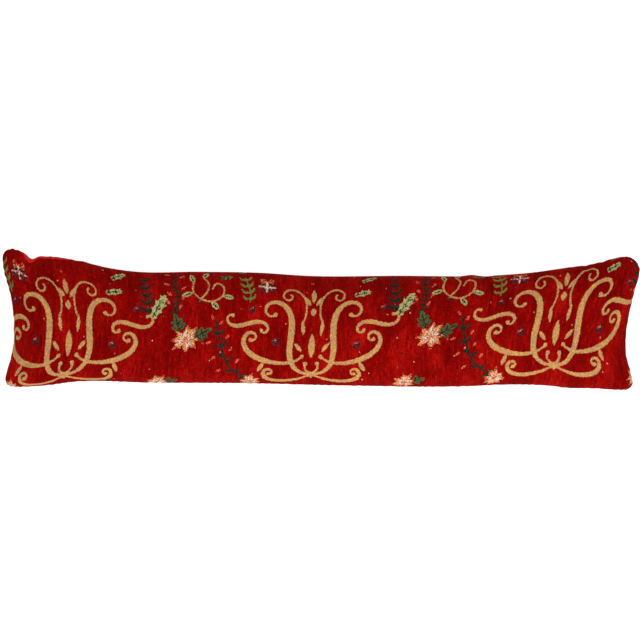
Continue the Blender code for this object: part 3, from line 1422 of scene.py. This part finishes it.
@dataclass(frozen=True)
class PadCover:
    """The filled cover as one closed mesh, with its seam, puckers, pile and pattern."""

    form: FilledForm = FilledForm()
    filling: Filling = Filling()
    pattern: WovenPattern = WovenPattern()
    cells_along: int = 584
    cells_across: int = 128
    rows_by_seam: int = 6
    back_row_step: int = 4
    hidden_roll: float = -7.0
    roll_start: float = 0.5
    roll_full: float = 0.9
    groove_depth: float = 1.1
    groove_width: float = 2.0
    pucker_depth: float = 0.7
    pucker_reach: float = 10.0
    pucker_length: float = 13.0
    pucker_drift: float = 2.5
    drift_length: float = 71.0
    swell_length: float = 47.0
    back_gather: float = 1.7
    pile_height: float = 0.5
    pile_start: float = -0.4
    pile_full: float = 1.2
    wrap: float = 9.0
    layout_margin: tuple[float, float] = (0.002, 0.003)
    seam_rolls: tuple[SeamRoll, ...] = (
        SeamRoll(-480, 0.0),
        SeamRoll(-446, 1.0),
        SeamRoll(-428, 7.0),
        SeamRoll(-418, 12.5),
        SeamRoll(-413, 16.0),
        SeamRoll(-408, 23.0),
        SeamRoll(-403, 29.5),
        SeamRoll(-398, 31.5),
        SeamRoll(-392, 29.0),
        SeamRoll(-385, 24.5),
        SeamRoll(-378, 23.8),
        SeamRoll(-356, 23.4),
        SeamRoll(-346, 20.0),
        SeamRoll(-338, 13.0),
        SeamRoll(-326, 5.0),
        SeamRoll(-312, 0.0),
        SeamRoll(480, 0.0),
    )

    def back_rows(self) -> tuple[int, ...]:
        """Picks the face's rows that the back keeps: all near its long seams, few between.

        Returns:
            Their numbers.
        """
        near, last = self.rows_by_seam, self.cells_across
        rows = (*range(near), *range(near, last - near, self.back_row_step))
        return (*rows, *range(last - near, last + 1))

    def build(self) -> bpy.types.Object:
        """Builds the cover's mesh: its filled form, moved by its relief along the normals.

        Returns:
            The object, with the attributes that its material reads.
        """
        grid = self.form.even_grid(self.cells_along, self.cells_across)
        sheets = self.form.sheets(grid)
        sheets = self.blown(grid, sheets)
        sewn = SewnGrid(self.cells_along, self.cells_across, self.back_rows())
        points = sewn.join(sheets)
        cover = sewn.object("padded_cover", points)
        places = self.cloth_places(sewn, sheets)
        fields = self.threads_at(places)
        relief = self.relief(places, fields)
        normals = np.empty(points.size, np.float32)
        cover.data.vertex_normals.foreach_get("vector", normals)
        points = points + normals.reshape(-1, 3) * relief[:, None] * MM
        points[:, 2] = np.maximum(points[:, 2], 0)
        cover.data.vertices.foreach_set("co", points.astype(np.float32).ravel())
        self.store(cover.data, sewn, places, fields)
        cover.data.update()
        return cover

    def blown(self, grid: EvenGrid, sheets: Sheets) -> Sheets:
        """Adds to fine sheets what the simulated filling moved, read smoothly between.

        Args:
            grid: the fine sheets' grid.
            sheets: the fine sheets.

        Returns:
            The moved sheets. What lay on the floor stays on it.
        """
        coarse, moved = self.filling.settle(self.form)
        parts = []
        for sheet, shift in zip(sheets, moved):
            rows = smooth(coarse.along, shift, grid.along).swapaxes(0, 1)
            parts.append(sheet + smooth(coarse.across, rows, grid.across).swapaxes(0, 1))
        parts[1][..., 2] = np.where(sheets.back[..., 2] > 0, np.maximum(parts[1][..., 2], 0), 0)
        return Sheets(*parts)

    def cloth_places(self, sewn: SewnGrid, sheets: Sheets) -> dict[str, Numbers]:
        """Works out where each point lies on its flat panel.

        Args:
            sewn: the cover's numbering.
            sheets: the points of the face and back.

        Returns:
            One value a point, in millimetres: along and across the panel, the distance to
            the rim (below zero on the back), how far round the rim, the side of the seam
            (above zero on the face panel), and along and across as the face panel goes on
            past the rim.
        """
        line = sheets.face[:, self.cells_across // 2]
        walked = walked_along(line)
        along = (walked - np.interp(0, line[:, 0], walked)) / MM
        width = self.form.panel_width / MM
        across = np.linspace(0, width, self.cells_across + 1)
        u, v = np.meshgrid(along, across, indexing="ij")
        to_rim = np.stack([v, width - v, u - along[0], along[-1] - u])
        nearest = to_rim.argmin(axis=0)
        to_rim = to_rim.min(axis=0)
        round_rim = np.where(nearest < 2, u, v)
        past_u = np.select([nearest == 2, nearest == 3], [2 * along[0] - u, 2 * along[-1] - u], u)
        past_v = np.select([nearest == 0, nearest == 1], [-v, 2 * width - v], v)
        keys, rolls = np.array(self.seam_rolls, float).T
        by_top = smoothstep(self.roll_start, self.roll_full, v / width)
        roll = smooth(keys, rolls, u) * by_top + self.hidden_roll
        joined = {
            "along": Sheets(u, u),
            "across": Sheets(v, v),
            "rim": Sheets(to_rim, -to_rim),
            "round": Sheets(round_rim, round_rim),
            "side": Sheets(to_rim - roll, -to_rim - roll),
            "past_along": Sheets(u, past_u),
            "past_across": Sheets(v, past_v),
        }
        return {name: sewn.join(pair)[:, 0] for name, pair in joined.items()}

    def threads_at(self, places: dict[str, Numbers]) -> dict[Thread, Numbers]:
        """Reads the woven pattern at every point that the face panel covers.

        Args:
            places: the points' places on the cloth.

        Returns:
            For each thread, one distance for each point, in millimetres.
        """
        width = self.form.panel_width / MM
        on_face = places["rim"] > -self.wrap
        at = self.pattern.on_cloth(places["past_along"], places["past_across"], width)
        drawn = self.pattern.fields(at[on_face])
        fields = {}
        for thread, distances in drawn.items():
            fields[thread] = np.full(len(at), self.pattern.far)
            fields[thread][on_face] = distances
        return fields

    def relief(self, places: dict[str, Numbers], fields: dict[Thread, Numbers]) -> Numbers:
        """Works out how far each point stands out, in millimetres.

        The seam is a groove with a bell-shaped section. The puckers are a wave round the rim
        whose length and height drift in longer waves, and which fades away from the seam.
        They are deeper on the back. The motifs are woven flat, so they lie below the pile.

        Args:
            places: the points' places on the cloth.
            fields: the threads' distances.

        Returns:
            One height a point.
        """
        groove = -self.groove_depth * np.exp(-((places["side"] / self.groove_width) ** 2))
        turn = 2 * np.pi * places["round"]
        drift = self.pucker_drift * np.sin(turn / self.drift_length)
        swell = 0.6 + 0.4 * np.sin(turn / self.swell_length + 1)
        wave = np.sin(turn / self.pucker_length + drift) * swell
        fade = np.exp(-np.abs(places["side"]) / self.pucker_reach)
        on_face = places["side"] > 0
        puckers = self.pucker_depth * wave * fade * np.where(on_face, 1.0, self.back_gather)
        motifs = np.min([fields[thread] for thread in Thread], axis=0)
        pile = self.pile_height * smoothstep(self.pile_start, self.pile_full, motifs)
        return groove + puckers + np.where(on_face, pile, 0)

    def store(self, mesh: bpy.types.Mesh, sewn: SewnGrid, places: dict, fields: dict) -> None:
        """Writes the attributes that the cloth's material reads, and the flat layout.

        The layout shows the face on its upper half and the back on its lower half, each
        with a narrow margin.

        Args:
            mesh: the cover's mesh.
            sewn: the cover's numbering.
            places: the points' places on the cloth.
            fields: the threads' distances.
        """
        width = self.form.panel_width / MM
        weave = self.pattern.on_cloth(places["along"], places["across"], width)
        weave = np.concatenate([weave, np.zeros((len(weave), 1))], axis=1)
        vector = mesh.attributes.new("weave", "FLOAT_VECTOR", "POINT")
        vector.data.foreach_set("vector", weave.astype(np.float32).ravel())
        for name, values in [("side", places["side"])] + [(t.value, fields[t]) for t in Thread]:
            number = mesh.attributes.new(name, "FLOAT", "POINT")
            number.data.foreach_set("value", values.astype(np.float32))
        corners, counts = sewn.polygons()
        shares = [np.linspace(0, 1, cells + 1) for cells in (self.cells_along, self.cells_across)]
        flat = np.stack(np.meshgrid(*shares, indexing="ij"), -1)
        under = np.repeat(np.arange(len(counts)) >= self.cells_along * self.cells_across, counts)
        margin = np.array(self.layout_margin)
        layout = sewn.join(Sheets(flat, flat))[corners] * ([1, 0.5] - 2 * margin) + margin
        layout[~under, 1] += 0.5
        mesh.uv_layers.new(name="OFBake").uv.foreach_set("vector", layout.astype(np.float32).ravel())


Value = Union[float, tuple, "Link"]
DARK_PART = 0.04045


def linear(red: int, green: int, blue: int) -> tuple[float, float, float, float]:
    """Turns a colour as a screen shows it into the shader's even scale.

    A dark part is divided by 12.92, and a lighter one is a power of 2.4 of nearly itself.

    Args:
        red: red part, from 0 to 255.
        green: green part, likewise.
        blue: blue part, likewise.

    Returns:
        The colour, opaque.
    """
    parts = [part / 255 for part in (red, green, blue)]
    dark = [part <= DARK_PART for part in parts]
    even = [p / 12.92 if low else ((p + 0.055) / 1.055) ** 2.4 for p, low in zip(parts, dark)]
    return (*even, 1.0)


def dyed(red: int, green: int, blue: int) -> tuple[float, float, float, float]:
    """Finds the dye that shows as a screen colour where the studio lights a level surface."""
    return (*(part / STUDIO_GAIN for part in linear(red, green, blue)[:3]), 1.0)


class Link:
    """An output of a node. Arithmetic on it adds the Math nodes that work it out."""

    def __init__(self, graph: "Graph", socket: bpy.types.NodeSocket) -> None:
        """Keeps the output and the graph that new nodes go into."""
        self.graph = graph
        self.socket = socket

    def math(self, operation: str, *values: Value) -> "Link":
        """Adds a Math node."""
        return self.graph.add("ShaderNodeMath", {"operation": operation}, dict(enumerate(values)))

    def __add__(self, other: Value) -> "Link":
        """Adds."""
        return self.math("ADD", self, other)

    def __sub__(self, other: Value) -> "Link":
        """Takes away."""
        return self.math("SUBTRACT", self, other)

    def __rsub__(self, other: Value) -> "Link":
        """Takes this away from a number."""
        return self.math("SUBTRACT", other, self)

    def __mul__(self, other: Value) -> "Link":
        """Multiplies."""
        return self.math("MULTIPLY", self, other)

    def __truediv__(self, other: Value) -> "Link":
        """Divides."""
        return self.math("DIVIDE", self, other)

    __radd__ = __add__
    __rmul__ = __mul__

    def floor(self) -> "Link":
        """The whole number below."""
        return self.math("FLOOR", self)

    def rest(self) -> "Link":
        """What is above the whole number below."""
        return self.math("FRACT", self)

    def size(self) -> "Link":
        """The number without its sign."""
        return self.math("ABSOLUTE", self)

    def above(self, limit: Value) -> "Link":
        """1 where this is more than the limit, else 0."""
        return self.math("GREATER_THAN", self, limit)

    def most(self, other: Value) -> "Link":
        """The larger of two."""
        return self.math("MAXIMUM", self, other)

    def rise(self, low: float, high: float) -> "Link":
        """Rises evenly from 0 at low to 1 at high, and stays there."""
        ends = {"Value": self, "From Min": low, "From Max": high}
        return self.graph.add("ShaderNodeMapRange", {"clamp": True}, ends)

    def ridge(self) -> "Link":
        """A rounded ridge over each whole step: 1 in its middle, and 0 where two steps meet."""
        middle = (self.rest() - 0.5) * 2
        return 1 - middle * middle


class Graph:
    """The node tree of one material."""

    def __init__(self, name: str) -> None:
        """Makes a material with an empty tree.

        Args:
            name: the material's name.
        """
        self.material = bpy.data.materials.new(name)
        self.material.use_nodes = True
        self.tree = self.material.node_tree
        self.tree.nodes.clear()

    def add(self, kind: str, settings: dict, sockets: dict, output: int | str | None = 0) -> Link | None:
        """Adds a node.

        Args:
            kind: the node's type.
            settings: what is set on the node before its sockets.
            sockets: a value or a link for each named or numbered input.
            output: the output that is wanted.

        Returns:
            That output, or nothing where none is wanted.
        """
        node = self.tree.nodes.new(kind)
        for name, value in settings.items():
            setattr(node, name, value)
        for name, value in sockets.items():
            if isinstance(value, Link):
                self.tree.links.new(value.socket, node.inputs[name])
            else:
                node.inputs[name].default_value = value
        return Link(self, node.outputs[output]) if output is not None else None

    def add_output(self, surface: Link) -> None:
        """Ends the graph with its surface."""
        self.add("ShaderNodeOutputMaterial", {}, {"Surface": surface}, None)

    def attribute(self, name: str, output: str = "Fac") -> Link:
        """Reads a number, or a vector, that the mesh carries."""
        return self.add("ShaderNodeAttribute", {"attribute_name": name}, {}, output)

    def parts(self, vector: Link) -> tuple[Link, Link]:
        """The first two numbers of a vector."""
        kind = "ShaderNodeSeparateXYZ"
        return self.add(kind, {}, {0: vector}, "X"), self.add(kind, {}, {0: vector}, "Y")

    def pair(self, x: Value, y: Value, z: Value = 0.0) -> Link:
        """A vector of two or three numbers."""
        return self.add("ShaderNodeCombineXYZ", {}, {"X": x, "Y": y, "Z": z})

    def noise(self, at: Link, detail: float) -> Link:
        """Soft noise from about 0.25 to 0.75, whose bumps are about 1 wide."""
        sockets = {"Vector": at, "Scale": 1.0, "Detail": detail}
        return self.add("ShaderNodeTexNoise", {"noise_dimensions": "3D"}, sockets)

    def chance(self, at: Link) -> Link:
        """A number from 0 to 1 that is another one at each other vector."""
        return self.add("ShaderNodeTexWhiteNoise", {"noise_dimensions": "3D"}, {"Vector": at})

    def blend(self, share: Value, first: Value, second: Value) -> Link:
        """Mixes two colours."""
        return self.add("ShaderNodeMix", {"data_type": "RGBA"}, {0: share, 6: first, 7: second}, 2)


class Patch(NamedTuple):
    """Length along the weave, and height across it, of what repeats or varies, in millimetres."""

    long: float
    tall: float

    def cell(self, graph: Graph, along: Link, across: Link) -> Link:
        """Places counted in whole patches."""
        return graph.pair((along / self.long).floor(), (across / self.tall).floor())

    def noise(self, graph: Graph, along: Link, across: Link) -> Link:
        """Soft noise whose bumps are about one patch."""
        return graph.noise(graph.pair(along / self.long, across / self.tall), 2.0)


@dataclass(frozen=True)
class ChenilleGround:
    """The red ground: upright chenille yarns of uneven shade that wander a little."""

    yarn_pitch: float = 3.1
    wander: float = 2.6
    bend: Patch = Patch(26, 34)
    broad: Patch = Patch(38, 90)
    pile: Patch = Patch(1.1, 1.9)
    long_streak: float = 30.0
    short_streak: float = 9.0
    tuft: float = 1.6
    long_step: float = 1.17
    short_step: float = 1.31
    long_share: float = 0.54
    short_share: float = 0.44
    pile_share: float = 0.34
    broad_share: float = 0.74
    # how strongly the yarns' roundness is painted into the colour as shade
    yarn_shade_share: float = 0.12
    tuft_share: float = 0.18
    all_darker: float = 0.712
    dark: tuple[int, int, int] = (64, 0, 0)
    middle: tuple[int, int, int] = (137, 5, 3)
    bright: tuple[int, int, int] = (206, 24, 16)

    def weave(self, graph: Graph, along: Link, across: Link) -> tuple[Link, Link]:
        """Works out the ground.

        A place's yarn is the whole number of pitches to it, after soft noise has moved it
        sideways. Its tone sums the yarn's own long and short streaks, its roundness as painted
        shade (darker where two yarns meet, lighter along each yarn's crown), its pile, the
        chance shade of each tuft and a broad unevenness, each times its share.
        The colour goes from dark to middle to bright as the tone goes from 0 to 1.

        Args:
            graph: the material.
            along: place along the weave, in millimetres.
            across: place across the weave, in millimetres.

        Returns:
            The colour, and the height from 0 to about 1.
        """
        bend = self.bend.noise(graph, along, across)
        yarns = (along + (bend - 0.5) * (2 * self.wander)) / self.yarn_pitch
        number = yarns.floor()
        roundness = yarns.ridge()
        long_place = graph.pair(number * self.long_step, across / self.long_streak)
        short_place = graph.pair(number * self.short_step, across / self.short_streak, 5.0)
        pile = self.pile.noise(graph, along, across)
        tuft = graph.chance(graph.pair(number, (across / self.tuft).floor(), 2.5))
        tone = graph.noise(long_place, 1.0) * self.long_share
        tone = tone + graph.noise(short_place, 1.5) * self.short_share
        tone = tone + pile * self.pile_share
        tone = tone + self.broad.noise(graph, along, across) * self.broad_share
        # painted shade: yarns darker where they meet, lighter along their crowns
        tone = tone + roundness * self.yarn_shade_share
        tone = tone + tuft * self.tuft_share - self.all_darker
        colour = graph.blend(tone.rise(0.0, 0.5), dyed(*self.dark), dyed(*self.middle))
        colour = graph.blend(tone.rise(0.5, 1.0), colour, dyed(*self.bright))
        return colour, roundness * 0.55 + pile * 0.6


class Dye(NamedTuple):
    """How a thread shows.

    It has two screen colours, the share of its stitches that have the second one, the share
    that are gaps, and how far its edges are ragged, in millimetres.
    """

    main: tuple[int, int, int]
    other: tuple[int, int, int]
    share: float
    gaps: float = 0.06
    ragged: float = 0.55


@dataclass(frozen=True)
class InlaidThreads:
    """The motifs' threads: flat stitches, whose edges step from stitch to stitch."""

    stitch: Patch = Patch(1.25, 1.25)
    edge: float = 0.15
    first_seed: float = 3.5
    gap: tuple[int, int, int] = (112, 20, 16)
    plum: Dye = Dye((72, 14, 30), (124, 50, 56), 0.35, 0.08, 0.8)
    fir: Dye = Dye((28, 38, 31), (50, 54, 40), 0.25, 0.04)
    moss: Dye = Dye((54, 84, 50), (86, 106, 64), 0.35)
    leaf: Dye = Dye((100, 122, 54), (142, 138, 78), 0.30)
    sage: Dye = Dye((166, 172, 110), (204, 192, 132), 0.30, 0.03)
    gold: Dye = Dye((213, 160, 70), (184, 131, 106), 0.5, 0.0)
    rose: Dye = Dye((204, 66, 46), (226, 118, 86), 0.4, 0.1, 0.7)
    coral: Dye = Dye((206, 78, 52), (228, 144, 92), 0.42, 0.16, 1.1)
    amber: Dye = Dye((230, 170, 94), (214, 124, 78), 0.38, 0.12, 0.9)
    cream: Dye = Dye((238, 214, 194), (224, 164, 124), 0.3, 0.08, 0.7)
    ink: Dye = Dye((40, 34, 28), (60, 46, 34), 0.25, 0.03, 0.7)
    gold_glint: tuple[int, int, int] = (226, 186, 86)
    gold_stitch: Patch = Patch(1.35, 1.0)
    gold_stitch_share: float = 0.7
    glint_share: float = 0.24

    def lay(self, graph: Graph, ground: Link, along: Link, across: Link) -> tuple[Link, Link]:
        """Lays every thread over the ground, in the order of the threads.

        A stitch shows a thread where the thread's distance, with a random part for each
        stitch, is below zero. A second chance for each stitch picks its colour. Gold mixes
        into that the chance of its own finer stitches, and has glints where it is low.

        Args:
            graph: the material.
            ground: the ground's colour.
            along: place along the weave, in millimetres.
            across: place across the weave, in millimetres.

        Returns:
            The colour, and where motifs cover the ground, from 0 to 1.
        """
        column, row = (along / self.stitch.long).floor(), (across / self.stitch.tall).floor()
        jitter = (graph.chance(graph.pair(column, row)) - 0.5) * 2
        colour, covered = ground, None
        for order, thread in enumerate(Thread):
            dye: Dye = getattr(self, thread.value)
            pick = graph.chance(graph.pair(column, row, order + self.first_seed))
            if thread is Thread.GOLD:
                fine = graph.chance(self.gold_stitch.cell(graph, along, across))
                pick = pick * (1 - self.gold_stitch_share) + fine * self.gold_stitch_share
            shade = graph.blend(pick.above(1 - dye.share), dyed(*dye.main), dyed(*dye.other))
            if thread is Thread.GOLD:
                glints = (self.glint_share - pick).above(0)
                shade = graph.blend(glints, shade, dyed(*self.gold_glint))
            shade = graph.blend((dye.gaps - pick).above(0), shade, dyed(*self.gap))
            away = graph.attribute(thread.value) + jitter * dye.ragged
            inside = (0.0 - away).rise(-self.edge, self.edge)
            colour = graph.blend(inside, colour, shade)
            covered = inside if covered is None else covered.most(inside)
        return colour, covered


@dataclass(frozen=True)
class BackCloth:
    """The plain bright red panel: a fine twill."""

    pitch: float = 1.5
    slub: Patch = Patch(5, 1.6)
    rib_shade_share: float = 0.35
    slub_share: float = 1.3
    all_darker: float = 0.3
    main: tuple[int, int, int] = (238, 47, 40)
    dark: tuple[int, int, int] = (198, 28, 23)

    def weave(self, graph: Graph, along: Link, across: Link) -> tuple[Link, Link]:
        """Works out the twill: its ribs run where along plus across passes a whole pitch, and
        the colour is painted darker between them as shade.

        Args:
            graph: the material.
            along: place along the weave, in millimetres.
            across: place across the weave, in millimetres.

        Returns:
            The colour, and the height from 0 to 1.
        """
        rib = ((along + across) / self.pitch).ridge()
        slub = self.slub.noise(graph, along, across)
        # painted shade: darker in the grooves between the twill's ribs, lighter on their crowns
        tone = rib * self.rib_shade_share + slub * self.slub_share - self.all_darker
        return graph.blend(tone.rise(0.0, 1.0), dyed(*self.dark), dyed(*self.main)), rib


@dataclass(frozen=True)
class CoverCloth:
    """The whole cover's material: the face panel up to the seam, the back panel past it."""

    ground: ChenilleGround = ChenilleGround()
    threads: InlaidThreads = InlaidThreads()
    back: BackCloth = BackCloth()
    seam_blur: float = 0.2
    # painted shade: the dark colour that stands for the shade in the seam's fold
    fold: tuple[int, int, int] = (60, 2, 2)
    seam_shade_reach: float = 1.2
    seam_shade_strength: float = 0.3
    thread_twill: float = 1.3
    thread_height: float = 0.42
    thread_groove: float = 0.22
    rib_height: float = 0.4
    bump_height: float = 0.0007
    bump_strength: float = 0.8
    pile_roughness: float = 0.95
    thread_roughness: float = 0.72
    shine: float = 0.01
    sheen_roughness: float = 0.6
    sheen_tint: tuple[int, int, int] = (255, 150, 130)

    def build(self) -> bpy.types.Material:
        """Builds the material's graph.

        The side attribute, above zero on the face panel, parts the two cloths. A dark line
        of painted shade, standing for the shade in the seam's fold, fades away from the seam
        on both sides. Each height is the pile's or the rib's, and less where flat threads
        cover the pile: these have grooves by the square of a sawtooth.

        Returns:
            The material.
        """
        graph = Graph("cover_cloth")
        along, across = graph.parts(graph.attribute("weave", "Vector"))
        pile, pile_height = self.ground.weave(graph, along, across)
        face, covered = self.threads.lay(graph, pile, along, across)
        plain, rib = self.back.weave(graph, along, across)
        side = graph.attribute("side")
        on_face = side.rise(-self.seam_blur, self.seam_blur)
        # painted shade along the seam on both sides, strongest at it and gone by the reach
        fold = (1 - side.size().rise(self.seam_blur, self.seam_shade_reach)) * self.seam_shade_strength
        twill = ((along * self.thread_twill + across).rest() - 0.5) * 2
        flat = self.thread_height - twill * twill * self.thread_groove
        face_height = pile_height * (1 - covered) + covered * flat
        height = face_height * on_face + rib * self.rib_height * (1 - on_face)
        matt = covered * on_face * (self.thread_roughness - self.pile_roughness)
        bump = {"Strength": self.bump_strength, "Distance": self.bump_height, "Height": height}
        sockets = {
            "Base Color": graph.blend(fold, graph.blend(on_face, plain, face), dyed(*self.fold)),
            "Roughness": matt + self.pile_roughness,
            "Normal": graph.add("ShaderNodeBump", {}, bump),
            "Specular IOR Level": self.shine,
            "Sheen Weight": self.shine,
            "Sheen Roughness": self.sheen_roughness,
            "Sheen Tint": linear(*self.sheen_tint),
        }
        graph.add_output(graph.add("ShaderNodeBsdfPrincipled", {}, sockets))
        return graph.material


class Lamp(NamedTuple):
    """A square soft light that faces the cushion's middle, in metres and watts."""

    name: str
    place: tuple[float, float, float]
    side: float
    power: float


@dataclass(frozen=True)
class Studio:
    """White floor, soft light from above and a camera that looks straight down."""

    floor_half: float = 6.0
    floor_gap: float = 0.0003
    floor_colour: tuple[int, int, int] = (196, 196, 196)
    floor_roughness: float = 0.9
    floor_glow: float = 0.68
    lens: float = 100.0
    sensor: float = 36.0
    frame_width: float = 0.9025
    seam_height: float = 0.038
    aim: tuple[float, float] = (-0.0015, -0.0011)
    lamps: tuple[Lamp, ...] = (
        Lamp("overhead_light", (0.25, 0.1, 3.2), 3.0, 56.0),
        Lamp("key_light", (0.45, -1.6, 1.35), 1.4, 31.0),
    )
    world_strength: float = 0.55

    def build(self) -> None:
        """Builds everything that isn't the object."""
        self.floor()
        for lamp in self.lamps:
            self.light(lamp)
        self.world()
        self.camera()
        bpy.context.scene.view_settings.view_transform = "Standard"

    def floor(self) -> None:
        """Makes the floor: one flat square that glows a little, just below height zero."""
        half, low = self.floor_half, -self.floor_gap
        corners = [(x * half, y * half, low) for x, y in ((-1, -1), (1, -1), (1, 1), (-1, 1))]
        mesh = bpy.data.meshes.new("floor")
        mesh.from_pydata(corners, [], [(0, 1, 2, 3)])
        graph = Graph("floor_paper")
        paper = {
            "Base Color": linear(*self.floor_colour),
            "Roughness": self.floor_roughness,
            "Emission Color": linear(255, 255, 255),
            "Emission Strength": self.floor_glow,
        }
        graph.add_output(graph.add("ShaderNodeBsdfPrincipled", {}, paper))
        mesh.materials.append(graph.material)
        made = bpy.data.objects.new("floor", mesh)
        bpy.context.scene.collection.objects.link(made)

    def light(self, lamp: Lamp) -> None:
        """Hangs a light.

        Args:
            lamp: the light's name, place, size and power.
        """
        light = bpy.data.lights.new(lamp.name, "AREA")
        light.shape = "SQUARE"
        light.size = lamp.side
        light.energy = lamp.power
        made = bpy.data.objects.new(lamp.name, light)
        made.location = lamp.place
        made.rotation_euler = (-Vector(lamp.place)).to_track_quat("-Z", "Y").to_euler()
        bpy.context.scene.collection.objects.link(made)

    def world(self) -> None:
        """Gives the room an even white light."""
        world = bpy.data.worlds.new("room")
        world.use_nodes = True
        background = world.node_tree.nodes["Background"]
        background.inputs["Color"].default_value = (1.0, 1.0, 1.0, 1.0)
        background.inputs["Strength"].default_value = self.world_strength
        bpy.context.scene.world = world

    def camera(self) -> None:
        """Sets the camera so high that its frame has the wanted width at the seam.

        Its height above the seam is to that width as the lens is to the sensor.
        """
        lens = bpy.data.cameras.new("camera")
        lens.lens = self.lens
        lens.sensor_width = self.sensor
        made = bpy.data.objects.new("camera", lens)
        above = self.frame_width * self.lens / self.sensor
        made.location = (*self.aim, self.seam_height + above)
        bpy.context.scene.collection.objects.link(made)
        bpy.context.scene.camera = made


def write_sizes() -> None:
    """Updates the view layer.
    """
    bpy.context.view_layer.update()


def main() -> None:
    """Builds the cover, dresses it, and sets up the studio."""
    logging.basicConfig(level=logging.INFO, format="%(name)s: %(message)s")
    Studio().build()
    log.info("studio built")
    cover = PadCover().build()
    cover.data.materials.append(CoverCloth().build())
    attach(cover, "root")
    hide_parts("filled_cover")
    log.info("padded cover built, %d points", len(cover.data.vertices))
    write_sizes()


if __name__ == "__main__":
    main()
